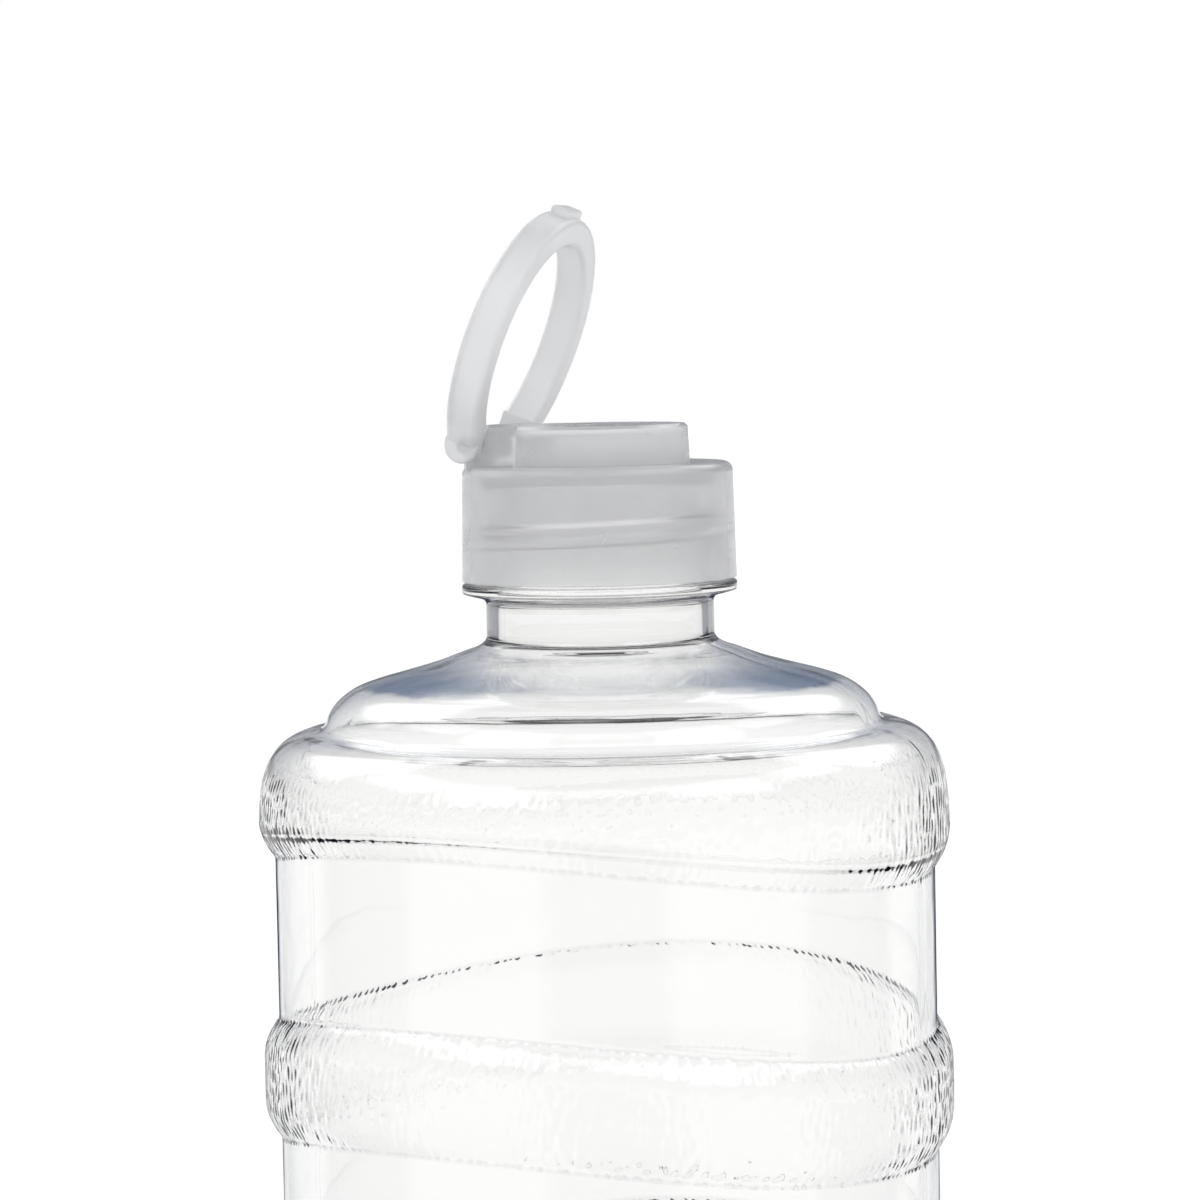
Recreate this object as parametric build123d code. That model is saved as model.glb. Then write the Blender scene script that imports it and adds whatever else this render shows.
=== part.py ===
from build123d import *
import os
import math

os.makedirs("parts", exist_ok=True)

# Large drinking-water jug: a clear blow-moulded bottle with wavy grip bands,
# a frosted screw cap with a round collar, a sealing ring under the cap, and a
# carry ring that folds on two pins in the cap.
# Frame: +Z up along the jug's axis, Z = 0 is the plane the foot stands on,
# X = 0, Y = 0 is the axis. +X points from the carry ring's hinge to the
# front of the cap. "Depths" below are measured down from the collar's top.

# ------------------------------------------------------------------ driving
total_height = 245.0          # foot to the flat top of the cap's collar

# bottle
wall = 1.4                    # wall of the body
body_radius = 63.5            # plain body between the bands
band_radius = 66.5            # crest of the grip bands
band_height = 23.0            # axial height of a band
gap_height = 31.1             # plain body between two bands
first_gap_depth = 81.1        # mean depth of the first band's lower edge
gap_count = 3                 # plain stretches; the last band ends in the heel
wave_height = 3.75            # amplitude of the two waves round each edge
wave_turn = -8.5              # degrees: the waves are lowest at this angle
wave_tilt = 1.25              # how far the whole wave also leans at the crest
wave_tilt_turn = 13.0         # degrees: it leans down towards this angle
band_inner_round = 2.0        # round where a band meets the plain body
rim_depth = 11.0              # rim of the neck
neck_radius = 21.95
bore_radius = 19.8
flange_radius = 26.5
flange_top_depth = 30.2
flange_edge = 1.8
flange_foot_depth = 33.2
heel_height = 14.0
foot_outer_radius = 56.5
foot_inner_radius = 50.0
push_up = 9.0

# neck finish and cap thread, right-handed, single start
lead = 5.0
thread_turns = 1.5
thread_root = 2.4             # axial width at the root
thread_crest = 1.2            # axial width at the crest
neck_thread_top_radius = 23.6
neck_thread_first_depth = 23.0
cap_thread_top_radius = 22.4

# screw cap
collar_top_radius = 17.5
collar_foot_radius = 17.8
shelf_depth = 7.4
skirt_top_radius = 26.0
skirt_foot_radius = 26.4
skirt_depth = 29.6
skirt_top_round = 1.8
cap_bore_radius = 24.25
plate_depth = 9.4             # underside of the cap's top plate
collar_wall = 2.0

# sealing ring under the top plate
liner_inner_radius = 17.5
liner_outer_radius = 23.7
liner_gap = 0.05

# carry ring and its hinge
hinge_x = -22.1
hinge_depth = 3.3
ring_centre_distance = 20.6   # hinge axis to the ring's centre
ring_outer_radius = 25.9
ring_inner_radius = 20.5
ring_thickness = 6.6
ring_round = 1.2
ring_raise = 69.0             # degrees up from lying flat round the collar
leg_flat = 13.2               # inner flat faces of the two legs
leg_outer = 15.9
foot_round = 3.5
boss_half_width = 12.8
boss_radius = 25.6
pin_radius = 1.6
pin_clearance = 0.05
pin_reach = 2.6               # how far each pin goes into the boss
tab_proud = 1.6
tab_half_width = 4.0
tab_half_thickness = 1.8


def z_at(depth):
    return total_height - depth


# Outer outline of the dome and the rounded shoulder: (radius, depth).
dome = [(21.95, 40.0), (22.25, 41.1), (23.5, 42.3), (26.9, 43.45), (31.8, 45.2),
        (38.3, 47.05), (43.3, 48.35), (47.6, 49.9), (50.9, 52.3), (53.0, 55.0),
        (53.6, 57.0)]
shoulder = [(54.6, 57.7), (57.6, 57.75), (60.4, 58.9), (62.5, 60.6), (64.5, 63.3),
            (65.7, 66.6), (66.3, 71.0), (66.5, 77.0)]


def inset(points, distance):
    """Moves an outline of (radius, depth) towards the inside by distance."""
    moved = []
    for i, (r, d) in enumerate(points):
        a = points[max(i - 1, 0)]
        b = points[min(i + 1, len(points) - 1)]
        tr, td = b[0] - a[0], b[1] - a[1]
        n = math.hypot(tr, td)
        moved.append((r - distance * td / n, d + distance * tr / n))
    return moved


def polar_line(points):
    return [(r, z_at(d)) for r, d in points]


def revolved(edges):
    face = make_face(Plane.XZ * Curve() + edges)
    return revolve(face, axis=Axis.Z)


def bottle_blank(offset, top):
    """Solid of revolution: offset 0 is the outer skin, wall is the cavity."""
    dome_line = polar_line(inset(dome, offset) if offset else dome)
    shoulder_line = polar_line(inset(shoulder, offset) if offset else shoulder)
    crest = band_radius - offset
    if offset:
        dome_line = [p for p in dome_line if p[0] > bore_radius + 0.4]
        first = [(0, top), (bore_radius, top), (bore_radius, z_at(39.0)), dome_line[0]]
        lines = [Polyline(*first)]
    else:
        first = [(0, top), (neck_radius, top),
                 (neck_radius, z_at(flange_top_depth)),
                 (flange_radius, z_at(flange_top_depth)),
                 (flange_radius, z_at(flange_top_depth + flange_edge)),
                 (neck_radius, z_at(flange_foot_depth)), dome_line[0]]
        lines = [Polyline(*first)]
    lines.append(Spline(*dome_line))
    lines.append(Line(dome_line[-1], shoulder_line[0]))
    lines.append(Spline(*shoulder_line))
    heel_top = heel_height
    heel_foot = offset
    fo, fi = foot_outer_radius, foot_inner_radius
    lines.append(Polyline(shoulder_line[-1], (crest, z_at(79.0)), (crest, heel_top)))
    k = 0.5523
    lines.append(Bezier((crest, heel_top), (crest, heel_top - k * (heel_top - heel_foot)),
                        (fo + k * (crest - fo), heel_foot), (fo, heel_foot)))
    lines.append(Line((fo, heel_foot), (fi, heel_foot)))
    lines.append(Bezier((fi, heel_foot), (fi - 10, heel_foot + 0.2 * push_up),
                        (20, push_up + offset), (0, push_up + offset)))
    lines.append(Line((0, push_up + offset), (0, top)))
    face = make_face([Plane.XZ * e for e in lines])
    return revolve(face, axis=Axis.Z)


def wave_slab(mean_z, height):
    """A plate with two waves round it, z = mean - wave_height cos(2 angle), and a slight lean."""
    reach = 75.0
    rise = wave_height / band_radius ** 2 * reach ** 2 * 2
    # corners of a twisted square on the diagonals between the waves' peaks
    c = []
    for a, s in ((0, -1), (90, 1), (180, -1), (270, 1)):
        x = reach * math.sqrt(2) * math.cos(math.radians(wave_turn + a))
        y = reach * math.sqrt(2) * math.sin(math.radians(wave_turn + a))
        along = x * math.cos(math.radians(wave_tilt_turn)) + y * math.sin(math.radians(wave_tilt_turn))
        c.append((x, y, mean_z + s * rise - wave_tilt * along / band_radius))
    face = Face.make_surface_from_curves(Edge.make_line(c[0], c[1]),
                                         Edge.make_line(c[3], c[2]))
    return Solid.extrude(face, Vector(0, 0, height))


def gap_ring(index, inner_radius, grow, rounding):
    mean_top = z_at(first_gap_depth + index * (band_height + gap_height))
    height = gap_height + 2 * grow
    low = mean_top - gap_height - grow
    ring = Pos(0, 0, low + height / 2) * (Cylinder(72, height + 24) - Cylinder(inner_radius, height + 24))
    ring = ring & wave_slab(low, height)
    if rounding:
        edges = [e for e in ring.edges()
                 if abs(math.hypot(e.position_at(0.5).X, e.position_at(0.5).Y) - inner_radius) < 0.05
                 and e.length > 40 and e.geom_type != GeomType.LINE]
        edges = [e for e in edges if e.bounding_box().size.Z < 4 * wave_height]
        ring = fillet(edges, rounding)
    return ring


def trapezoid_thread(path_radius, first_depth, tip_radius, turns):
    """A helical ridge from path_radius (a little inside its wall) to tip_radius."""
    path = Helix(pitch=lead, height=lead * turns, radius=path_radius,
                 center=(0, 0, z_at(first_depth)))
    reach = tip_radius - path_radius
    plane = Plane(origin=path @ 0, x_dir=(1, 0, 0), z_dir=path % 0)
    half_root, half_tip = thread_root / 2, thread_crest / 2
    section = plane * make_face(Polyline((0, -half_root), (reach, -half_tip),
                                         (reach, half_tip), (0, half_root), close=True))
    return sweep(section, path=path, is_frenet=True)


# ------------------------------------------------------------------ bottle
outer = bottle_blank(0.0, z_at(rim_depth))
cavity = bottle_blank(wall, z_at(rim_depth) + 5.0)
for i in range(gap_count):
    outer = outer - gap_ring(i, body_radius, 0.0, band_inner_round)
    cavity = cavity - gap_ring(i, body_radius - wall, wall, 0.0)

neck_thread = trapezoid_thread(neck_radius - 0.3, neck_thread_first_depth,
                               neck_thread_top_radius, thread_turns)
bottle = (outer + neck_thread) - cavity
bottle.label = "bottle"

# ---------------------------------------------------------------- screw cap
cap_outline = Polyline((0, z_at(0)), (collar_top_radius - 0.6, z_at(0)),
                       (collar_top_radius, z_at(0.6)),
                       (collar_foot_radius, z_at(shelf_depth)),
                       (skirt_top_radius - skirt_top_round, z_at(shelf_depth)))
cap_corner = RadiusArc((skirt_top_radius - skirt_top_round, z_at(shelf_depth)),
                       (skirt_top_radius, z_at(shelf_depth + skirt_top_round)),
                       skirt_top_round)
cap_side = Polyline((skirt_top_radius, z_at(shelf_depth + skirt_top_round)),
                    (skirt_foot_radius, z_at(skirt_depth)), (0, z_at(skirt_depth)),
                    (0, z_at(0)))
cap = revolve(make_face([Plane.XZ * cap_outline, Plane.XZ * cap_corner, Plane.XZ * cap_side]),
              axis=Axis.Z)

boss = Pos(-19.0, 0, z_at(shelf_depth / 2 + 0.25)) * Box(14.0, 2 * boss_half_width, shelf_depth + 0.5)
boss = fillet(boss.edges().filter_by(Axis.Y).group_by(Axis.Z)[-1].sort_by(Axis.X)[0], 2.0)
boss = boss & (Pos(0, 0, z_at(4)) * Cylinder(boss_radius, 12))
cap = cap + boss

cap = cap - Pos(0, 0, (z_at(plate_depth) + z_at(skirt_depth) - 1) / 2) * Cylinder(
    cap_bore_radius, z_at(plate_depth) - z_at(skirt_depth) + 1)
hollow_top = z_at(collar_wall)
cap = cap - Pos(0, 0, (hollow_top + z_at(plate_depth) - 0.5) / 2) * Cylinder(
    collar_top_radius - collar_wall, hollow_top - z_at(plate_depth) + 0.5)
for side in (-1, 1):
    depth = pin_reach + 0.3
    y = side * (boss_half_width - depth / 2 + 0.25)
    cap = cap - Pos(hinge_x, y, z_at(hinge_depth)) * Rot(90, 0, 0) * Cylinder(
        pin_radius + pin_clearance, depth + 0.5)

cap_thread = trapezoid_thread(cap_bore_radius + 0.3, neck_thread_first_depth + lead / 2 - 0.2,
                              cap_thread_top_radius, thread_turns)
screw_cap = cap + cap_thread
screw_cap.label = "screw_cap"

# -------------------------------------------------------------- sealing ring
liner_top = z_at(plate_depth) - liner_gap
liner_foot = z_at(rim_depth) + liner_gap
liner_height = liner_top - liner_foot
cap_liner = Pos(0, 0, (liner_top + liner_foot) / 2) * (
    Cylinder(liner_outer_radius, liner_height) - Cylinder(liner_inner_radius, liner_height))
cap_liner = fillet(cap_liner.edges().filter_by(GeomType.CIRCLE), 0.3)
cap_liner.label = "cap_liner"

# ---------------------------------------------------------------- carry ring
# Built lying flat round the collar, then raised about the hinge axis.
centre_x = hinge_x + ring_centre_distance
hinge_z = z_at(hinge_depth)
ring = Pos(centre_x, 0, hinge_z) * (Cylinder(ring_outer_radius, ring_thickness)
                                    - Cylinder(ring_inner_radius, ring_thickness))
ring = fillet(ring.edges().filter_by(GeomType.CIRCLE), ring_round)
# the ring stops at the hinge line, with flat faces either side of the boss
ring = ring - Pos(hinge_x - 10, 0, hinge_z) * Box(20, 60, 20)
ring = ring - Pos(hinge_x + 4, 0, hinge_z) * Box(20, 2 * leg_flat, 20)
for side in (-1, 1):
    width = leg_outer - leg_flat
    y = side * (leg_flat + width / 2)
    foot = Pos(hinge_x, y, hinge_z) * Rot(90, 0, 0) * Cylinder(foot_round, width)
    rim_edge = [e for e in foot.edges().filter_by(GeomType.CIRCLE)
                if abs(e.center().Y) > leg_flat + width / 2]
    foot = fillet(rim_edge, 0.8)
    arm = Pos(hinge_x + 2.5, y, hinge_z) * Box(5.0, width, ring_thickness)
    pin = Pos(hinge_x, side * (leg_flat - (leg_flat - boss_half_width + pin_reach) / 2 + 0.25),
              hinge_z) * Rot(90, 0, 0) * Cylinder(
        pin_radius, leg_flat - boss_half_width + pin_reach + 0.5)
    ring = ring + foot + arm + pin
tab = Pos(centre_x + ring_outer_radius + tab_proud / 2 - 1.5, 0, hinge_z) * Box(
    tab_proud + 3.0, 2 * tab_half_width, 2 * tab_half_thickness)
tab = fillet(tab.edges().group_by(Axis.X)[-1], 0.7)
ring = ring + tab
turn = Pos(hinge_x, 0, hinge_z) * Rot(0, -ring_raise, 0) * Pos(-hinge_x, 0, -hinge_z)
carry_ring = turn * ring
carry_ring.label = "carry_ring"

for node in (bottle, screw_cap, cap_liner, carry_ring):
    export_step(node, "parts/" + node.label + ".step")
    print(node.label, len(node.solids()), round(node.volume / 1000, 2), "cm3", node.is_valid)
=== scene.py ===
import math

import bpy
import numpy as np
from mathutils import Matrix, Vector


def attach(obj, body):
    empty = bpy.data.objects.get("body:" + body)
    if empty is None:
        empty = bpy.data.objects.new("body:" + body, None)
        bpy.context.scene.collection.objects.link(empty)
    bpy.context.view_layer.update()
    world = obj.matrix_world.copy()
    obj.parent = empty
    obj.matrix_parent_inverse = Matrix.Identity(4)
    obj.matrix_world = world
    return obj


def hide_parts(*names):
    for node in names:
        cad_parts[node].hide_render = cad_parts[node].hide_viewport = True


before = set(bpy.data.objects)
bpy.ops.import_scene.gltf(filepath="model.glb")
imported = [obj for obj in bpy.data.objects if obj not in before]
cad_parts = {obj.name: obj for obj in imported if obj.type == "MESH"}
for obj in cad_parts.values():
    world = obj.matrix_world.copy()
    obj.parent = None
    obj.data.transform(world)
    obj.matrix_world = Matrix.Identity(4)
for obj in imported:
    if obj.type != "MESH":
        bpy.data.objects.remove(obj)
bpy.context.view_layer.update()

MM = 0.001
TOP = 0.245              # flat top of the cap's collar above the floor


# ------------------------------------------------------------------ helpers
def link(obj):
    bpy.context.scene.collection.objects.link(obj)
    return obj


def mesh_object(name, verts, faces, smooth=True):
    me = bpy.data.meshes.new(name)
    me.from_pydata([tuple(v) for v in verts], [], faces)
    me.validate(verbose=False)
    me.update()
    if smooth:
        me.polygons.foreach_set("use_smooth", [True] * len(me.polygons))
    return link(bpy.data.objects.new(name, me))


def grid_mesh(name, verts, quads, extra=()):
    """Fast mesh from numpy arrays: verts (n, 3) in metres, quads (m, 4), and a few larger faces."""
    me = bpy.data.meshes.new(name)
    loops = quads.reshape(-1)
    sizes = np.full(len(quads), 4, dtype=np.int32)
    if len(extra):
        loops = np.concatenate([loops, np.concatenate([np.array(f) for f in extra])])
        sizes = np.concatenate([sizes, np.array([len(f) for f in extra], dtype=np.int32)])
    starts = np.concatenate([[0], np.cumsum(sizes)[:-1]]).astype(np.int32)
    me.vertices.add(len(verts))
    me.vertices.foreach_set("co", np.ascontiguousarray(verts, dtype=np.float32).reshape(-1))
    me.loops.add(len(loops))
    me.loops.foreach_set("vertex_index", loops.astype(np.int32))
    me.polygons.add(len(sizes))
    me.polygons.foreach_set("loop_start", starts)
    me.polygons.foreach_set("loop_total", sizes)
    me.update(calc_edges=True)
    me.validate(verbose=False)
    me.polygons.foreach_set("use_smooth", np.ones(len(sizes), dtype=bool))
    me.update()
    return link(bpy.data.objects.new(name, me))


def spline_rows(points, steps):
    """Centripetal Catmull-Rom through (r, d) points, with a list of steps per span."""
    p = np.array(points, dtype=float)
    a = np.vstack([2 * p[0] - p[1], p, 2 * p[-1] - p[-2]])
    out = []
    for i in range(len(p) - 1):
        p0, p1, p2, p3 = a[i:i + 4]
        t0 = 0.0
        t1 = t0 + np.linalg.norm(p1 - p0) ** 0.5
        t2 = t1 + np.linalg.norm(p2 - p1) ** 0.5
        t3 = t2 + np.linalg.norm(p3 - p2) ** 0.5
        n = steps[i] if hasattr(steps, "__len__") else steps
        for t in np.linspace(t1, t2, n, endpoint=False):
            a1 = (t1 - t) / (t1 - t0) * p0 + (t - t0) / (t1 - t0) * p1
            a2 = (t2 - t) / (t2 - t1) * p1 + (t - t1) / (t2 - t1) * p2
            a3 = (t3 - t) / (t3 - t2) * p2 + (t - t2) / (t3 - t2) * p3
            b1 = (t2 - t) / (t2 - t0) * a1 + (t - t0) / (t2 - t0) * a2
            b2 = (t3 - t) / (t3 - t1) * a2 + (t - t1) / (t3 - t1) * a3
            out.append((t2 - t) / (t2 - t1) * b1 + (t - t1) / (t2 - t1) * b2)
    out.append(p[-1])
    return [tuple(x) for x in out]


def smoothstep(a, b, x):
    t = np.clip((x - a) / (b - a), 0.0, 1.0)
    return t * t * (3 - 2 * t)


# ------------------------------------------------------------------ bottle
# Radii and depths in millimetres, depth measured down from the collar's top.
WALL = 1.4
SKIN = 1.0               # between the two skins where the plastic is blown thinnest
BODY_R, BAND_R = 63.5, 66.5
GAP_TOPS = [81.1 + i * 54.1 for i in range(3)]     # lower edge of each band
GAP = 31.1
FOOT = 245.0


def wave(phi):
    """How much deeper the wavy edges lie at the angle phi (from +X)."""
    return (3.75 * np.cos(2 * (phi - math.radians(-8.5)))
            + 1.25 * np.cos(phi - math.radians(13.0)))


def wave_share(d):
    return smoothstep(62.0, 79.0, d) * (1 - smoothstep(224.0, 238.0, d))


def band_profile(d):
    """Radius on the body as a function of the unwaved depth, with sharp creases."""
    r = np.full_like(d, BAND_R)
    for g in GAP_TOPS:
        low = g + GAP
        roll = 7.2
        up = np.clip((d - (g - roll)) / roll, 0, 1)
        dn = np.clip(((low + roll) - d) / roll, 0, 1)
        inside = (d > g) & (d < low)
        r = np.where((d > g - roll) & (d <= g), np.minimum(r, BAND_R - (BAND_R - BODY_R) * up ** 2.0), r)
        r = np.where((d < low + roll) & (d >= low), np.minimum(r, BAND_R - (BAND_R - BODY_R) * dn ** 2.0), r)
        r = np.where(inside, BODY_R, r)
    return r


def band_radius(d, soft=0.5):
    """The same with each crease rounded, as blown plastic is."""
    d = np.asarray(d, dtype=float)
    ds = np.linspace(-2.4, 2.4, 25) * soft
    w = np.exp(-(np.linspace(-2.4, 2.4, 25)) ** 2)
    return sum(band_profile(d + x) * y for x, y in zip(ds, w)) / w.sum()


def build_bottle():
    rng = np.random.default_rng(7)
    coarse, fine = 240, 960

    rows = []   # (r, d, dent weight, fine?, is body)

    def add(r, d, fine_row=False, body=False):
        rows.append((r, d, fine_row, body))

    # rim, neck wall with its thread, flange
    for r, d in ((19.85, 11.5), (19.95, 11.2), (20.2, 11.0), (21.5, 11.0), (21.8, 11.12), (21.95, 11.4)):
        add(r, d)
    for d in np.arange(12.4, 26.6, 0.3):
        add(21.95, d)
    for r, d in ((21.95, 28.6), (21.97, 29.6), (22.1, 30.0), (22.5, 30.2), (24.5, 30.2), (25.9, 30.2),
                 (26.25, 30.27), (26.45, 30.5), (26.5, 30.8), (26.5, 31.6), (26.42, 31.85), (26.1, 32.05),
                 (24.6, 32.45), (23.2, 32.85), (22.5, 33.1), (22.1, 33.5), (21.95, 34.1)):
        add(r, d)
    for d in (35.5, 37.0, 38.3, 39.2):
        add(21.95, d)
    dome = [(21.95, 40.0), (22.3, 41.1), (23.6, 42.15), (26.9, 43.35), (31.8, 45.15), (38.3, 47.0),
            (43.3, 48.35), (47.6, 49.9), (50.9, 52.25), (52.6, 54.5), (53.45, 56.6)]
    for r, d in spline_rows(dome, [3, 3, 4, 5, 5, 4, 4, 5, 5, 5])[:-1]:
        add(r, d)
    # the groove between dome and shoulder, then the shoulder
    shoulder = [(53.45, 56.6), (53.95, 57.3), (54.9, 57.75), (57.3, 58.05), (60.3, 59.1), (62.5, 60.7),
                (64.5, 63.4), (65.7, 66.7), (66.3, 71.0), (66.5, 77.0)]
    sh = spline_rows(shoulder, [3, 3, 4, 5, 6, 9, 9, 10, 12])
    for r, d in sh:
        if d <= 59.4:
            add(r, d)
    add(*[x for x in sh if x[1] > 59.4][0], fine_row=False)
    for r, d in [x for x in sh if x[1] > 59.4][1:]:
        if d < GAP_TOPS[0] - 7.0:
            add(r, d, True, True)

    def body_rows(a, b, step, fine_row):
        n = max(2, int(round((b - a) / step)))
        for d in np.linspace(a, b, n + 1)[1:]:
            add(float(band_radius(np.array([d]))[0]), float(d), fine_row, True)

    last = rows[-1][1]
    for i, g in enumerate(GAP_TOPS):
        body_rows(last, g - 1.2, 0.62, True)
        body_rows(g - 1.2, g, 0.24, True)
        body_rows(g, g + 1.2, 0.3, True)
        body_rows(g + 1.2, g + 3.0, 0.9, False)
        body_rows(g + 3.0, g + GAP - 3.0, 3.2, False)
        body_rows(g + GAP - 3.0, g + GAP - 1.2, 0.9, False)
        body_rows(g + GAP - 1.2, g + GAP, 0.3, True)
        body_rows(g + GAP, g + GAP + 1.2, 0.24, True)
        last = g + GAP + 1.2
    body_rows(last, 234.4, 0.62, True)
    # heel, foot ring and push-up
    heel_top = FOOT - 10.6
    ks = np.linspace(0, 1, 22)[1:]

    def bez(p0, p1, p2, p3, t):
        return ((1 - t) ** 3 * np.array(p0) + 3 * (1 - t) ** 2 * t * np.array(p1)
                + 3 * (1 - t) * t * t * np.array(p2) + t ** 3 * np.array(p3))
    k = 0.5523
    # same heel curve as the CAD part, from 14 mm up
    heel = [bez((66.5, 231.0), (66.5, 231.0 + k * 14), (56.5 + k * 10, 245.0), (56.5, 245.0), t)
            for t in np.linspace(0, 1, 40)]
    heel = [h for h in heel if h[1] > 234.9]
    for h in heel:
        add(float(h[0]), float(h[1]))
    for r in (55.2, 53.5, 51.6):
        add(r, 245.0)
    for t in np.linspace(0, 1, 30):
        h = bez((50, 245.0), (40, 245.0 - 1.8), (20, 236.0), (0, 236.0), t)
        if h[0] > 0.4:
            add(float(h[0]), float(h[1]))

    r = np.array([x[0] for x in rows])
    d = np.array([x[1] for x in rows])
    isfine = np.array([x[2] for x in rows])
    body = np.array([x[3] for x in rows])
    # heel rows must meet the body's own roll
    # dents: elongated hollows on a jittered, slanted lattice
    circ = 2 * math.pi * BAND_R
    cell_u, cell_v = 1.75, 3.3
    nu = int(round(circ / cell_u))
    dents = []
    span_list = [(59.8, GAP_TOPS[0] + 0.4)] + [(g + GAP - 0.4, g2 + 0.4) for g, g2 in zip(GAP_TOPS[:-1], GAP_TOPS[1:])] \
        + [(GAP_TOPS[-1] + GAP - 0.4, 239.0)]
    for a, b in span_list:
        nv = max(1, int(round((b - a) / cell_v)))
        for j in range(nv + 1):
            for i in range(nu):
                u = (i + 0.5 * (j % 2) + rng.uniform(-0.33, 0.33)) * circ / nu
                v = a + (j + rng.uniform(-0.36, 0.36)) * (b - a) / nv
                dents.append((u, v, rng.uniform(0.62, 1.0), rng.uniform(1.5, 2.6),
                              rng.uniform(-0.05, 0.42), rng.uniform(0.55, 1.0)))
    dents = np.array(dents)

    def dent_field(phi, dd):
        """Depth of the hammered relief at (phi, d) arrays of one row, in mm."""
        u = (phi % (2 * math.pi)) * BAND_R
        total = np.zeros_like(u)
        near = dents[np.abs(dents[:, 1] - dd) < 3.0]
        step = u[1] - u[0]
        n = len(u)
        for cu, cv, hw, hl, slant, amp in near:
            i0 = int(round(cu / step))
            k = int(2.2 / step) + 1
            idx = np.arange(i0 - k, i0 + k + 1)
            du = idx * step - cu
            dv = dd - cv
            x = du * math.cos(slant) + dv * math.sin(slant)
            y = -du * math.sin(slant) + dv * math.cos(slant)
            q = (x / hw) ** 2 + (y / hl) ** 2
            f = amp * np.clip(1 - q, 0, None) ** 1.5
            idx %= n
            total[idx] = np.maximum(total[idx], f)
        return total

    dent_on = np.zeros(len(rows))
    for i in range(len(rows)):
        if not (isfine[i]):
            continue
        dd = d[i]
        s = smoothstep(61.0, 70.0, np.array([dd]))[0] * (1 - smoothstep(231.5, 234.2, np.array([dd]))[0])
        for g in GAP_TOPS:
            if g < dd < g + GAP:
                s = 0.0
            # the relief runs a little way into the crease, so the edge is scalloped
        dent_on[i] = s

    verts, ring_start, ring_n, shade = [], [], [], []
    count = 0
    for i in range(len(rows)):
        n = fine if isfine[i] else coarse
        phi = np.arange(n) * 2 * math.pi / n
        rr = np.full(n, r[i])
        zz = d[i] + wave(phi) * wave_share(np.array([d[i]]))[0]
        if dent_on[i] > 0:
            f = dent_field(phi, d[i])
            rr = rr - 0.20 * dent_on[i] * f
            # a scalloped, serrated crease where the relief meets the plain body
        near_crease = min([abs(d[i] - c) for g in GAP_TOPS for c in (g, g + GAP)])
        if near_crease < 0.9 and isfine[i]:
            f = dent_field(phi, d[i])
            sign = 1.0
            for g in GAP_TOPS:
                if abs(d[i] - g) < 0.9:
                    sign = -1.0
            zz = zz + sign * 0.36 * f * (1 - near_crease / 0.9)
        # thread on the neck
        if 12.0 < d[i] < 27.0:
            top = 23.0 - 7.5
            a = phi / (2 * math.pi)
            h = np.zeros(n)
            for turn in range(-1, 3):
                s = a + turn
                on = (s >= 0) & (s <= 1.5)
                centre = 23.0 - 5.0 * s
                taper = smoothstep(0, 0.06, s) * (1 - smoothstep(1.44, 1.5, s))
                q = np.clip(1 - (np.abs(d[i] - centre) - 0.6) / 0.6, 0, 1)
                q = q * q * (3 - 2 * q)
                h = np.maximum(h, np.where(on, q * taper, 0))
            rr = rr + 1.65 * h
        # mould parting line: a hair-thin ridge at two opposite sides
        if 33.5 < d[i] < 240:
            for p0 in (-3.0, 177.0):
                dl = np.angle(np.exp(1j * (phi - math.radians(p0))))
                width = 0.30 if n == fine else 0.9
                rr = rr + 0.10 * np.exp(-(dl * r[i] / width) ** 2)
        # painted shade for the creases: a grey line weight near each crease, stronger where the dents reach it
        line = np.zeros(n)
        if near_crease < 0.42 and isfine[i]:
            line = (1 - (near_crease / 0.42) ** 2) * (0.45 + 0.55 * np.clip(dent_field(phi, d[i]) * 1.6, 0, 1))
        shade.append(line)
        ring_start.append(count)
        ring_n.append(n)
        verts.append(np.stack([rr * np.cos(phi), rr * np.sin(phi), FOOT - zz], -1))
        count += n

    # inner skin, from the base's centre back up to the rim: rows at the wall's thickness
    def normal_inset(points, t):
        p = np.array(points)
        a = np.vstack([p[:1], p[:-1]])
        b = np.vstack([p[1:], p[-1:]])
        tan = b - a
        tan /= np.linalg.norm(tan, axis=1)[:, None]
        return np.stack([p[:, 0] - t * tan[:, 1], p[:, 1] + t * tan[:, 0]], -1)

    # everywhere the same distance inside the outer skin, so that the wall bends nothing much
    path = spline_rows(dome, [2, 2, 3, 4, 4, 4, 4, 4, 4, 4])[:-1] + spline_rows(shoulder, [2, 2, 3, 3, 5, 6, 6, 6, 6])
    dd = path[-1][1]
    while dd < 230.4:
        near = min([abs(dd - c) for g in GAP_TOPS for c in (g, g + GAP)])
        dd += 0.45 if near < 2.0 else (0.8 if near < 9 else 3.0)
        path.append((float(band_radius(np.array([dd]))[0]), dd))
    neck_in = [(19.8, 11.9), (19.8, 16.0), (19.8, 24.0), (19.8, 32.0), (19.8, 38.5), (19.95, 40.2), (20.5, 41.9)]
    inner = neck_in + [tuple(q) for q in normal_inset(path, SKIN) if q[0] > 21.2 and q[1] < 230.6]
    hb = [bez((66.5 - SKIN, 231.0), (66.5 - SKIN, 231.0 + k * 12.6), (56.5 + k * 8.6, 243.6), (56.5, 243.6), t)
          for t in np.linspace(0, 1, 16)]
    inner += [tuple(h) for h in hb]
    inner += [(54.0, 243.6), (51.5, 243.6)]
    pu = [bez((50, 243.6), (40, 243.6 - 1.8), (20, 234.6), (0, 234.6), t) for t in np.linspace(0, 1, 18)]
    inner += [tuple(h) for h in pu if h[0] > 0.4]
    inner_rows = inner[::-1]

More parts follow.
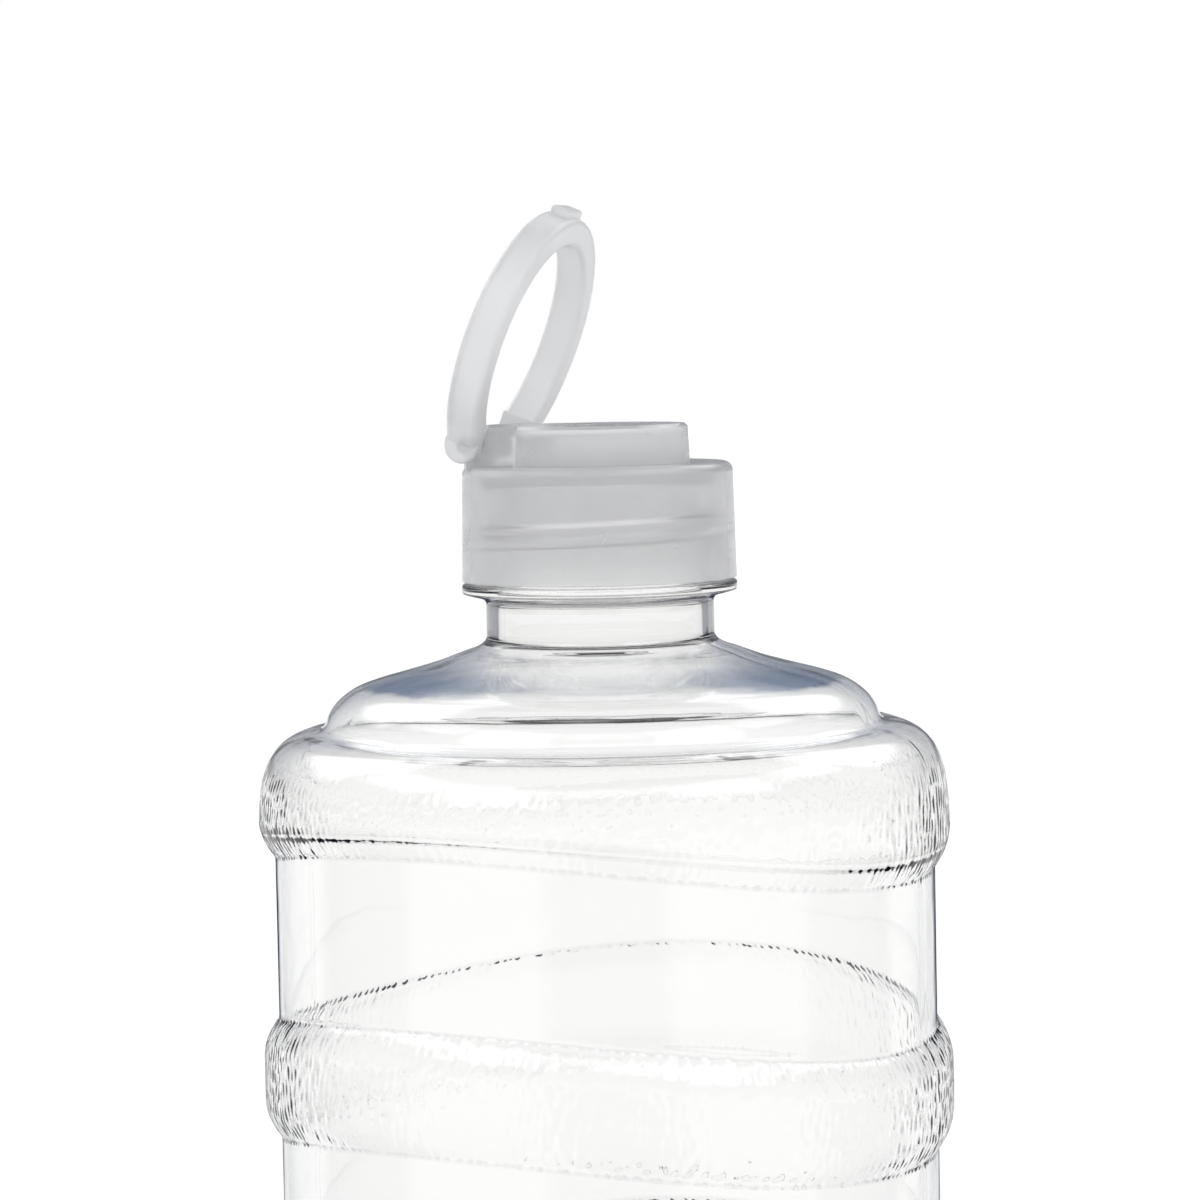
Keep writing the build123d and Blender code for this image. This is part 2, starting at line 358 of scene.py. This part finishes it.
    outer_rings = len(ring_start)
    for (ri, di) in inner_rows:
        n = coarse
        phi = np.arange(n) * 2 * math.pi / n
        zz = di + wave(phi) * wave_share(np.array([di]))[0]
        verts.append(np.stack([np.full(n, ri) * np.cos(phi), ri * np.sin(phi), FOOT - zz], -1))
        ring_start.append(count)
        ring_n.append(n)
        count += n

    V = np.concatenate(verts) * MM
    quads, extra = [], []

    def join(i, j):
        """Ring i lies before ring j along the outline: faces look outwards."""
        ni, nj = ring_n[i], ring_n[j]
        a, b = ring_start[i], ring_start[j]
        if ni == nj:
            kk = np.arange(ni)
            k2 = (kk + 1) % ni
            quads.append(np.stack([a + kk, b + kk, b + k2, a + k2], -1))
        elif ni < nj:
            m = nj // ni
            for q in range(ni):
                lows = [b + (q * m + t) % nj for t in range(m + 1)]
                extra.append([a + (q + 1) % ni, a + q] + lows)
        else:
            m = ni // nj
            for q in range(nj):
                ups = [a + (q * m + t) % ni for t in range(m + 1)]
                extra.append([b + q, b + (q + 1) % nj] + ups[::-1])

    total_rings = len(ring_start)
    for i in range(outer_rings - 1):
        join(i, i + 1)
    for i in range(outer_rings, total_rings - 1):
        join(i, i + 1)
    join(total_rings - 1, 0)     # rim
    # close both skins at the base's centre
    c_out = len(V)
    V = np.vstack([V, [[0, 0, 9.0 * MM]], [[0, 0, (9.0 + WALL) * MM]]])
    a = ring_start[outer_rings - 1]
    n = ring_n[outer_rings - 1]
    for q in range(n):
        extra.append([a + q, c_out, a + (q + 1) % n])
    a = ring_start[outer_rings]
    n = ring_n[outer_rings]
    for q in range(n):
        extra.append([c_out + 1, a + q, a + (q + 1) % n])
    obj = grid_mesh("bottle_shell", V, np.concatenate(quads), extra)
    # the painted crease shade goes on the outer skin as the crease attribute
    line = np.zeros(len(V))
    line[:sum(len(x) for x in shade)] = np.concatenate(shade)
    at = obj.data.attributes.new("crease", "FLOAT", "POINT")
    at.data.foreach_set("value", line.astype(np.float32))
    inside = np.zeros(len(V))
    inside[ring_start[outer_rings]:] = 1.0
    inside[c_out] = 0.0
    at = obj.data.attributes.new("inside", "FLOAT", "POINT")
    at.data.foreach_set("value", inside.astype(np.float32))
    return obj


bottle = build_bottle()
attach(bottle, "bottle")
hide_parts("bottle")


# ------------------------------------------------------------------ lathe parts
def lathe(name, outline, n=256, close=True):
    """Closed outline of (r, z mm) turned about Z. Outline runs so that faces look outwards."""
    pts = np.array(outline, dtype=float)
    phi = np.arange(n) * 2 * math.pi / n
    V = np.concatenate([np.stack([p[0] * np.cos(phi), p[0] * np.sin(phi), np.full(n, p[1])], -1) for p in pts]) * MM
    quads = []
    m = len(pts)
    for i in range(m if close else m - 1):
        j = (i + 1) % m
        kk = np.arange(n)
        k2 = (kk + 1) % n
        quads.append(np.stack([i * n + kk, j * n + kk, j * n + k2, i * n + k2], -1))
    return grid_mesh(name, V, np.concatenate(quads))


def arc(cx, cz, rad, a0, a1, steps):
    return [(cx + rad * math.cos(math.radians(a)), cz + rad * math.sin(math.radians(a)))
            for a in np.linspace(a0, a1, steps)]


def z_at(depth):
    return FOOT - depth


# ------------------------------------------------------------------ materials
def new_material(name):
    m = bpy.data.materials.new(name)
    m.use_nodes = True
    nt = m.node_tree
    for n in list(nt.nodes):
        nt.nodes.remove(n)
    out = nt.nodes.new("ShaderNodeOutputMaterial")
    return m, nt, out


def node(nt, kind, **values):
    n = nt.nodes.new(kind)
    for key, v in values.items():
        if key in n.inputs:
            n.inputs[key].default_value = v
        else:
            setattr(n, key, v)
    return n


def ramp_node(nt, stops, interpolation="LINEAR"):
    """Colour ramp from (position, (r, g, b)) stops."""
    n = nt.nodes.new("ShaderNodeValToRGB")
    cr = n.color_ramp
    cr.interpolation = interpolation
    while len(cr.elements) > 1:
        cr.elements.remove(cr.elements[-1])
    cr.elements[0].position = stops[0][0]
    cr.elements[0].color = tuple(stops[0][1]) + (1,)
    for pos, col in stops[1:]:
        e = cr.elements.new(pos)
        e.color = tuple(col) + (1,)
    return n


# base colour darkened by how squarely the surface is met (Layer Weight facing): painted shade and
# painted dark reflections that stand in for the dark surroundings seen at grazing, only a small part of it
# real absorption along a slanting ray; every list only gets darker from square-on to grazing, and the
# dome's cone and the neck darken sooner than the thin body, painting dark navy reflections on the dome
# and dark bars on the neck
EDGE_PAINTED_SHADE = [(0.00, (0.975, 0.972, 0.963)), (0.58, (0.965, 0.962, 0.953)), (0.70, (0.90, 0.90, 0.90)),
        (0.78, (0.82, 0.825, 0.83)), (0.84, (0.66, 0.67, 0.69)), (0.90, (0.44, 0.45, 0.48)),
        (0.95, (0.27, 0.28, 0.31)), (1.00, (0.18, 0.19, 0.22))]
SHOULDER_PAINTED_SHADE = [(0.00, (0.975, 0.972, 0.963)), (0.58, (0.965, 0.962, 0.953)), (0.70, (0.91, 0.91, 0.91)),
            (0.84, (0.72, 0.73, 0.75)), (0.92, (0.52, 0.53, 0.56)), (1.00, (0.38, 0.39, 0.42))]
RIM_PAINTED_SHADE = [(0.00, (0.965, 0.965, 0.96)), (0.60, (0.955, 0.955, 0.955)), (0.70, (0.88, 0.89, 0.90)),
       (0.80, (0.66, 0.69, 0.74)), (0.90, (0.42, 0.46, 0.54)), (1.00, (0.36, 0.40, 0.48))]
CONE_PAINTED_REFLECTION = [(0.00, (0.965, 0.965, 0.96)), (0.60, (0.94, 0.945, 0.95)), (0.66, (0.84, 0.86, 0.88)),
        (0.70, (0.30, 0.35, 0.45)), (0.75, (0.08, 0.115, 0.20)), (1.00, (0.05, 0.075, 0.14))]
NECK_PAINTED_REFLECTION = [(0.00, (0.90, 0.90, 0.895)), (0.50, (0.84, 0.84, 0.84)), (0.535, (0.74, 0.74, 0.74)),
        (0.56, (0.08, 0.085, 0.105)), (1.00, (0.05, 0.055, 0.075))]


def clear_plastic():
    m, nt, out = new_material("clear_copolyester")
    p = node(nt, "ShaderNodeBsdfPrincipled")
    p.inputs["Transmission Weight"].default_value = 1.0
    p.inputs["IOR"].default_value = 1.5
    p.inputs["Specular IOR Level"].default_value = 0.5
    tc = node(nt, "ShaderNodeTexCoord")
    lw = node(nt, "ShaderNodeLayerWeight", Blend=0.5)
    # painted shade: each ramp turns the viewing angle into a darker base colour
    painted_shade_ramps = edge, shoulder, rim, cone, neck = [ramp_node(nt, stops) for stops in (EDGE_PAINTED_SHADE, SHOULDER_PAINTED_SHADE, RIM_PAINTED_SHADE, CONE_PAINTED_REFLECTION, NECK_PAINTED_REFLECTION)]
    # noise jitters the facing value for the cone's painted dark reflection, so its border is ragged
    rag = node(nt, "ShaderNodeTexNoise", Scale=150.0, Detail=3.0, Roughness=0.55)
    nt.links.new(tc.outputs["Object"], rag.inputs["Vector"])
    ragged = node(nt, "ShaderNodeMath", operation="MULTIPLY_ADD")
    nt.links.new(rag.outputs["Fac"], ragged.inputs[0])
    ragged.inputs[1].default_value = 0.06
    ragged.inputs[2].default_value = -0.03
    ragged_facing = node(nt, "ShaderNodeMath", operation="ADD")
    nt.links.new(lw.outputs["Facing"], ragged_facing.inputs[0])
    nt.links.new(ragged.outputs["Value"], ragged_facing.inputs[1])
    for r in painted_shade_ramps:
        nt.links.new(ragged_facing.outputs["Value"] if r is cone else lw.outputs["Facing"], r.inputs["Fac"])
    xyz = node(nt, "ShaderNodeSeparateXYZ")
    nt.links.new(tc.outputs["Object"], xyz.inputs["Vector"])

    def mask(value, low, high, to_low=0.0, to_high=1.0):
        """Smooth step of a height, between two depths in mm under the collar's top."""
        n = node(nt, "ShaderNodeMapRange")
        n.interpolation_type = "SMOOTHSTEP"
        n.inputs["From Min"].default_value = (FOOT - low) * MM
        n.inputs["From Max"].default_value = (FOOT - high) * MM
        n.inputs["To Min"].default_value = to_low
        n.inputs["To Max"].default_value = to_high
        nt.links.new(value, n.inputs["Value"])
        return n.outputs["Result"]

    def above(depth, soft):
        return mask(xyz.outputs["Z"], depth + soft, depth - soft)

    def times(a, b):
        n = node(nt, "ShaderNodeMath", operation="MULTIPLY")
        nt.links.new(a, n.inputs[0])
        nt.links.new(b, n.inputs[1])
        return n.outputs["Value"]

    def blend(fac, a, b):
        n = node(nt, "ShaderNodeMix", data_type="RGBA")
        nt.links.new(fac, n.inputs["Factor"])
        nt.links.new(a, n.inputs["A"])
        if isinstance(b, tuple):
            n.inputs["B"].default_value = b + (1,)
        else:
            nt.links.new(b, n.inputs["B"])
        return n.outputs["Result"]

    # where the dome's cone gets the painted dark reflection and where its rim, turning down, gets the lighter painted
    # shade; the border is ragged
    wob = node(nt, "ShaderNodeMath", operation="MULTIPLY_ADD")
    nt.links.new(rag.outputs["Fac"], wob.inputs[0])
    wob.inputs[1].default_value = 1.6 * MM
    nt.links.new(xyz.outputs["Z"], wob.inputs[2])
    painted_cone_mask = times(mask(wob.outputs["Value"], 49.0, 48.2), mask(wob.outputs["Value"], 46.9, 41.5, 1.0, 0.15))
    top = blend(painted_cone_mask, rim.outputs["Color"], cone.outputs["Color"])
    # painted shade by height: the edge list on the body, the shoulder's, the dome's rim and cone, the neck's dark
    # bars, and the edge list again from the flange up
    c = blend(above(72.0, 3.0), edge.outputs["Color"], shoulder.outputs["Color"])
    c = blend(above(58.6, 0.9), c, top)
    c = blend(above(40.6, 0.5), c, neck.outputs["Color"])
    c = blend(above(33.0, 0.4), c, edge.outputs["Color"])
    # the inner skin gets the shoulder's milder painted shade, so it adds little of its own
    skin = nt.nodes.new("ShaderNodeAttribute")
    skin.attribute_name = "inside"
    c = blend(skin.outputs["Fac"], c, shoulder.outputs["Color"])
    # the mould's parting line, a hair on two opposite sides below the flange: a thin grey line of painted shade on
    # the outer skin
    side_cut = node(nt, "ShaderNodeVectorMath", operation="DOT_PRODUCT")
    nt.links.new(tc.outputs["Object"], side_cut.inputs[0])
    side_cut.inputs[1].default_value = (math.sin(math.radians(-3)), -math.cos(math.radians(-3)), 0)
    dist = node(nt, "ShaderNodeMath", operation="ABSOLUTE")
    nt.links.new(side_cut.outputs["Value"], dist.inputs[0])
    hair = node(nt, "ShaderNodeMapRange")
    hair.interpolation_type = "SMOOTHSTEP"
    hair.inputs["From Min"].default_value = 0.06 * MM
    hair.inputs["From Max"].default_value = 0.17 * MM
    hair.inputs["To Min"].default_value = 0.6
    hair.inputs["To Max"].default_value = 0.0
    nt.links.new(dist.outputs["Value"], hair.inputs["Value"])
    outer = node(nt, "ShaderNodeMath", operation="SUBTRACT")
    outer.inputs[0].default_value = 1.0
    nt.links.new(skin.outputs["Fac"], outer.inputs[1])
    c = blend(times(times(hair.outputs["Result"], outer.outputs["Value"]), mask(xyz.outputs["Z"], 42.0, 40.0, 1.0, 0.0)),
              c, (0.40, 0.42, 0.46))
    # painted shade in the sharp creases where the bands meet the body: a thin grey line mixed into the base colour
    crease = nt.nodes.new("ShaderNodeAttribute")
    crease.attribute_name = "crease"
    nt.links.new(blend(crease.outputs["Fac"], c, (0.74, 0.74, 0.745)), p.inputs["Base Color"])
    # faint variation of gloss and a little flow waviness left by blowing
    n1 = node(nt, "ShaderNodeTexNoise", Scale=38.0, Detail=2.0, Roughness=0.4)
    nt.links.new(tc.outputs["Object"], n1.inputs["Vector"])
    ramp = node(nt, "ShaderNodeMapRange")
    ramp.inputs["From Min"].default_value = 0.35
    ramp.inputs["From Max"].default_value = 0.75
    ramp.inputs["To Min"].default_value = 0.0
    ramp.inputs["To Max"].default_value = 0.018
    nt.links.new(n1.outputs["Fac"], ramp.inputs["Value"])
    nt.links.new(ramp.outputs["Result"], p.inputs["Roughness"])
    bump = node(nt, "ShaderNodeBump")
    bump.inputs["Strength"].default_value = 0.06
    bump.inputs["Distance"].default_value = 0.001
    n2 = node(nt, "ShaderNodeTexNoise", Scale=95.0, Detail=1.0, Roughness=0.3)
    nt.links.new(tc.outputs["Object"], n2.inputs["Vector"])
    nt.links.new(n2.outputs["Fac"], bump.inputs["Height"])
    nt.links.new(bump.outputs["Normal"], p.inputs["Normal"])
    nt.links.new(p.outputs["BSDF"], out.inputs["Surface"])
    return m


def frosted(name, tint, seed, through=0.72, rough=(0.24, 0.34)):
    """Milky moulded polypropylene: part of the light goes through, blurred, the rest scatters."""
    m, nt, out = new_material(name)
    p = node(nt, "ShaderNodeBsdfPrincipled")
    tc = node(nt, "ShaderNodeTexCoord")
    mp = node(nt, "ShaderNodeMapping")
    mp.inputs["Location"].default_value = (seed, 0, 0)
    nt.links.new(tc.outputs["Object"], mp.inputs["Vector"])
    # cloudy flow of the resin
    n1 = node(nt, "ShaderNodeTexNoise", Scale=70.0, Detail=3.0, Roughness=0.5, Distortion=0.6)
    nt.links.new(mp.outputs["Vector"], n1.inputs["Vector"])
    mix = node(nt, "ShaderNodeMix", data_type="RGBA")
    mix.inputs["A"].default_value = tuple(c * 0.965 for c in tint) + (1,)
    mix.inputs["B"].default_value = tuple(tint) + (1,)
    nt.links.new(n1.outputs["Fac"], mix.inputs["Factor"])
    nt.links.new(mix.outputs["Result"], p.inputs["Base Color"])
    p.inputs["Transmission Weight"].default_value = through
    p.inputs["IOR"].default_value = 1.45
    rr = node(nt, "ShaderNodeMapRange")
    rr.inputs["To Min"].default_value = rough[0]
    rr.inputs["To Max"].default_value = rough[1]
    n2 = node(nt, "ShaderNodeTexNoise", Scale=160.0, Detail=2.0, Roughness=0.5)
    nt.links.new(mp.outputs["Vector"], n2.inputs["Vector"])
    nt.links.new(n2.outputs["Fac"], rr.inputs["Value"])
    nt.links.new(rr.outputs["Result"], p.inputs["Roughness"])
    bump = node(nt, "ShaderNodeBump")
    bump.inputs["Strength"].default_value = 0.08
    bump.inputs["Distance"].default_value = 0.0004
    n3 = node(nt, "ShaderNodeTexNoise", Scale=240.0, Detail=1.0, Roughness=0.4)
    nt.links.new(mp.outputs["Vector"], n3.inputs["Vector"])
    nt.links.new(n3.outputs["Fac"], bump.inputs["Height"])
    nt.links.new(bump.outputs["Normal"], p.inputs["Normal"])
    nt.links.new(p.outputs["BSDF"], out.inputs["Surface"])
    return m


def give(obj, mat):
    me = obj.data
    me.materials.clear()
    me.materials.append(mat)


mat_bottle = clear_plastic()
mat_cap = frosted("frosted_polypropylene_cap", (0.972, 0.974, 0.980), 0.0, 0.70, (0.22, 0.30))
mat_ring = frosted("frosted_polypropylene_ring", (0.905, 0.908, 0.915), 3.0, 0.45, (0.32, 0.44))
mat_seal = frosted("silicone_seal", (0.9, 0.9, 0.89), 7.0)
give(bottle, mat_bottle)
for n, m in (("screw_cap", mat_cap), ("carry_ring", mat_ring), ("cap_liner", mat_seal)):
    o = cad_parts[n]
    for s in o.material_slots:
        s.material = m

# ------------------------------------------------------------------ stage
bpy.context.scene.view_settings.view_transform = "Standard"

floor = mesh_object("studio_floor", [(-9, -9, 0), (9, -9, 0), (9, 9, 0), (-9, 9, 0)], [(0, 1, 2, 3)], False)
fm, nt, out = new_material("pale_floor")
dif = node(nt, "ShaderNodeBsdfDiffuse", Color=(0.66, 0.66, 0.66, 1), Roughness=0.5)
glow = node(nt, "ShaderNodeEmission", Color=(1.0, 1.0, 1.0, 1), Strength=0.42)
both = node(nt, "ShaderNodeAddShader")
nt.links.new(dif.outputs["BSDF"], both.inputs[0])
nt.links.new(glow.outputs["Emission"], both.inputs[1])
nt.links.new(both.outputs["Shader"], out.inputs["Surface"])
# mirror reflections find it darker inside the same four slots as on the walls
geo = node(nt, "ShaderNodeNewGeometry")
slots = None
for az in (18 + 90 * k for k in range(4)):
    a = math.radians(az)
    dot = node(nt, "ShaderNodeVectorMath", operation="DOT_PRODUCT")
    nt.links.new(geo.outputs["Position"], dot.inputs[0])
    dot.inputs[1].default_value = (-math.sin(a), math.cos(a), 0.0)
    length = node(nt, "ShaderNodeVectorMath", operation="LENGTH")
    nt.links.new(geo.outputs["Position"], length.inputs[0])
    div = node(nt, "ShaderNodeMath", operation="DIVIDE")
    nt.links.new(dot.outputs["Value"], div.inputs[0])
    nt.links.new(length.outputs["Value"], div.inputs[1])
    mr = node(nt, "ShaderNodeMapRange")
    mr.interpolation_type = "SMOOTHSTEP"
    mr.inputs["From Min"].default_value = math.cos(math.radians(25))
    mr.inputs["From Max"].default_value = math.cos(math.radians(15))
    nt.links.new(div.outputs["Value"], mr.inputs["Value"])
    if slots is None:
        slots = mr.outputs["Result"]
    else:
        mx = node(nt, "ShaderNodeMath", operation="MAXIMUM")
        nt.links.new(slots, mx.inputs[0])
        nt.links.new(mr.outputs["Result"], mx.inputs[1])
        slots = mx.outputs["Value"]
ray = node(nt, "ShaderNodeLightPath")
far = node(nt, "ShaderNodeVectorMath", operation="LENGTH")
nt.links.new(geo.outputs["Position"], far.inputs[0])
close = node(nt, "ShaderNodeMapRange")
close.interpolation_type = "SMOOTHSTEP"
close.inputs["From Min"].default_value = 1.45
close.inputs["From Max"].default_value = 1.75
close.inputs["To Min"].default_value = 1.0
close.inputs["To Max"].default_value = 0.0
nt.links.new(far.outputs["Value"], close.inputs["Value"])
near_slots = node(nt, "ShaderNodeMath", operation="MULTIPLY")
nt.links.new(slots, near_slots.inputs[0])
nt.links.new(close.outputs["Result"], near_slots.inputs[1])
slots = near_slots.outputs["Value"]
only = node(nt, "ShaderNodeMath", operation="MULTIPLY")
nt.links.new(slots, only.inputs[0])
mirrored = node(nt, "ShaderNodeMath", operation="SUBTRACT", use_clamp=True)
nt.links.new(ray.outputs["Is Glossy Ray"], mirrored.inputs[0])
nt.links.new(ray.outputs["Is Transmission Ray"], mirrored.inputs[1])
nt.links.new(mirrored.outputs["Value"], only.inputs[1])
dim = node(nt, "ShaderNodeEmission", Color=(0.05, 0.062, 0.10, 1), Strength=1.0)
pick = node(nt, "ShaderNodeMixShader")
nt.links.new(only.outputs["Value"], pick.inputs["Fac"])
nt.links.new(both.outputs["Shader"], pick.inputs[1])
nt.links.new(dim.outputs["Emission"], pick.inputs[2])
nt.links.new(pick.outputs["Shader"], out.inputs["Surface"])
give(floor, fm)

# White where it is looked at directly, past the object or through it; mirror reflections
# find grey walls and a dark ceiling with soft boxes.
world = bpy.data.worlds.new("studio")
bpy.context.scene.world = world
world.use_nodes = True
wn = world.node_tree
for n in list(wn.nodes):
    wn.nodes.remove(n)
wout = wn.nodes.new("ShaderNodeOutputWorld")
wtc = wn.nodes.new("ShaderNodeTexCoord")
sep = wn.nodes.new("ShaderNodeSeparateXYZ")
wn.links.new(wtc.outputs["Generated"], sep.inputs["Vector"])


def wmath(op, a, b=None, clamp=False):
    n = wn.nodes.new("ShaderNodeMath")
    n.operation = op
    n.use_clamp = clamp
    for k, v in enumerate((a, b)):
        if v is None:
            continue
        if isinstance(v, (int, float)):
            n.inputs[k].default_value = v
        else:
            wn.links.new(v, n.inputs[k])
    return n.outputs[0]


half = wmath("MULTIPLY_ADD", sep.outputs["Z"], 0.5)
half.node.inputs[2].default_value = 0.5     # 0.5 is level, 0.75 is 30 degrees up
flat_len = wmath("SQRT", wmath("MAXIMUM", wmath("SUBTRACT", 1.0, wmath("MULTIPLY", sep.outputs["Z"], sep.outputs["Z"])), 1e-6))


def toward(azimuth):
    """Cosine of the horizontal angle between a direction and the azimuth looked along."""
    a = math.radians(azimuth)
    n = wn.nodes.new("ShaderNodeVectorMath")
    n.operation = "DOT_PRODUCT"
    wn.links.new(wtc.outputs["Generated"], n.inputs[0])
    n.inputs[1].default_value = (-math.sin(a), math.cos(a), 0.0)
    return wmath("DIVIDE", n.outputs["Value"], flat_len)


def smooth_range(x, lo, hi, to_lo=0.0, to_hi=1.0):
    mr = wn.nodes.new("ShaderNodeMapRange")
    mr.interpolation_type = "SMOOTHSTEP"
    mr.inputs["From Min"].default_value = lo
    mr.inputs["From Max"].default_value = hi
    mr.inputs["To Min"].default_value = to_lo
    mr.inputs["To Max"].default_value = to_hi
    wn.links.new(x, mr.inputs["Value"])
    return mr.outputs["Result"]


def mix_rgb(kind, fac, a, b):
    n = wn.nodes.new("ShaderNodeMix")
    n.data_type = "RGBA"
    n.blend_type = kind
    for sock, v in (("Factor", fac), ("A", a), ("B", b)):
        if isinstance(v, (int, float)):
            n.inputs[sock].default_value = v
        elif isinstance(v, tuple):
            n.inputs[sock].default_value = v + (1,)
        else:
            wn.links.new(v, n.inputs[sock])
    return n.outputs["Result"]


def soft_box(azimuth, elevation, half_width, half_height, power):
    """A soft-edged rectangle of light on the sky, seen from the object."""
    a, e = math.radians(azimuth), math.radians(elevation)
    d = Vector((-math.sin(a) * math.cos(e), math.cos(a) * math.cos(e), math.sin(e)))
    right = Vector((math.cos(a), math.sin(a), 0))
    up = right.cross(d)
    outs = []
    for axis, hw in ((right, half_width), (up, half_height)):
        n = wn.nodes.new("ShaderNodeVectorMath")
        n.operation = "DOT_PRODUCT"
        wn.links.new(wtc.outputs["Generated"], n.inputs[0])
        n.inputs[1].default_value = axis
        t = math.sin(math.radians(hw))
        x = wmath("ABSOLUTE", n.outputs["Value"])
        outs.append(smooth_range(x, t * 0.55, t * 1.3, 1.0, 0.0))
    n = wn.nodes.new("ShaderNodeVectorMath")
    n.operation = "DOT_PRODUCT"
    wn.links.new(wtc.outputs["Generated"], n.inputs[0])
    n.inputs[1].default_value = d
    front = wmath("GREATER_THAN", n.outputs["Value"], 0.0)
    return wmath("MULTIPLY", wmath("MULTIPLY", wmath("MULTIPLY", outs[0], outs[1]), front), power)


VIEWS = [18 + 90 * k for k in range(4)]
# seen by mirror reflections: mid-grey walls with a darker slot behind each of the four sides,
# a navy ceiling and soft boxes
g_sky = ramp_node(wn, [(0.0, (0.50, 0.50, 0.51)), (0.50, (0.46, 0.465, 0.48)), (0.56, (0.32, 0.33, 0.36)),
                       (0.63, (0.10, 0.12, 0.17)), (0.74, (0.035, 0.048, 0.085)), (0.90, (0.035, 0.045, 0.08)),
                       (1.0, (0.20, 0.22, 0.26))])
wn.links.new(half, g_sky.inputs["Fac"])
slot_near = None
for az in VIEWS:
    t = smooth_range(toward(az), math.cos(math.radians(25)), math.cos(math.radians(15)))
    slot_near = t if slot_near is None else wmath("MAXIMUM", slot_near, t)
low = smooth_range(half, 0.515, 0.56, 1.0, 0.0)
g_wall = mix_rgb("MIX", wmath("MULTIPLY", wmath("MULTIPLY", slot_near, low), 0.45), g_sky.outputs["Color"], (0.05, 0.062, 0.10))
boxes = None
for az in VIEWS:
    for da, el, hw, hh, power in ((0, 45, 15, 9, 2.2), (125, 40, 9, 14, 3.2), (-125, 40, 9, 14, 3.2)):
        t = soft_box(az + da, el, hw, hh, power)
        boxes = t if boxes is None else wmath("ADD", boxes, t)
g_all = mix_rgb("ADD", 1.0, g_wall, boxes)
# seen through the plastic: white at and below eye level, dark overhead
t_sky = ramp_node(wn, [(0.0, (1.0, 1.0, 1.0)), (0.62, (1.0, 1.0, 1.0)), (0.70, (0.88, 0.88, 0.885)),
                       (0.80, (0.72, 0.725, 0.74)), (1.0, (0.66, 0.67, 0.69))])
wn.links.new(half, t_sky.inputs["Fac"])
# what lights dull surfaces
d_sky = ramp_node(wn, [(0.0, (1.2, 1.2, 1.2)), (0.55, (1.2, 1.2, 1.2)), (0.75, (0.86, 0.87, 0.89)), (1.0, (0.98, 0.99, 1.0))])
wn.links.new(half, d_sky.inputs["Fac"])

lp = wn.nodes.new("ShaderNodeLightPath")
sky = mix_rgb("MIX", lp.outputs["Is Glossy Ray"], d_sky.outputs["Color"], g_all)
sky = mix_rgb("MIX", lp.outputs["Is Transmission Ray"], sky, t_sky.outputs["Color"])
sky = mix_rgb("MIX", lp.outputs["Is Camera Ray"], sky, (1.0, 1.0, 1.0))
lit = wn.nodes.new("ShaderNodeBackground")
wn.links.new(sky, lit.inputs["Color"])
lit.inputs["Strength"].default_value = 1.0
wn.links.new(lit.outputs["Background"], wout.inputs["Surface"])

# ------------------------------------------------------------------ camera
cam = bpy.data.cameras.new("camera")
cam_obj = link(bpy.data.objects.new("camera", cam))
cam.sensor_width = 36.0
cam.lens = 126.0
cam.clip_start, cam.clip_end = 0.05, 30.0
AZ = math.radians(18.0)
DIST, RISE, PITCH, ROLL = 0.8063, 0.01996, math.radians(3.814), math.radians(1.16)
eye = Vector((math.sin(AZ) * DIST, -math.cos(AZ) * DIST, TOP + RISE))
back = Vector((math.sin(AZ) * math.cos(PITCH), -math.cos(AZ) * math.cos(PITCH), math.sin(PITCH)))
cam_obj.location = eye
cam_obj.rotation_mode = "QUATERNION"
q = (-back).to_track_quat("-Z", "Y")
from mathutils import Quaternion
cam_obj.rotation_quaternion = q @ Quaternion((0, 0, 1), -ROLL)
bpy.context.scene.camera = cam_obj
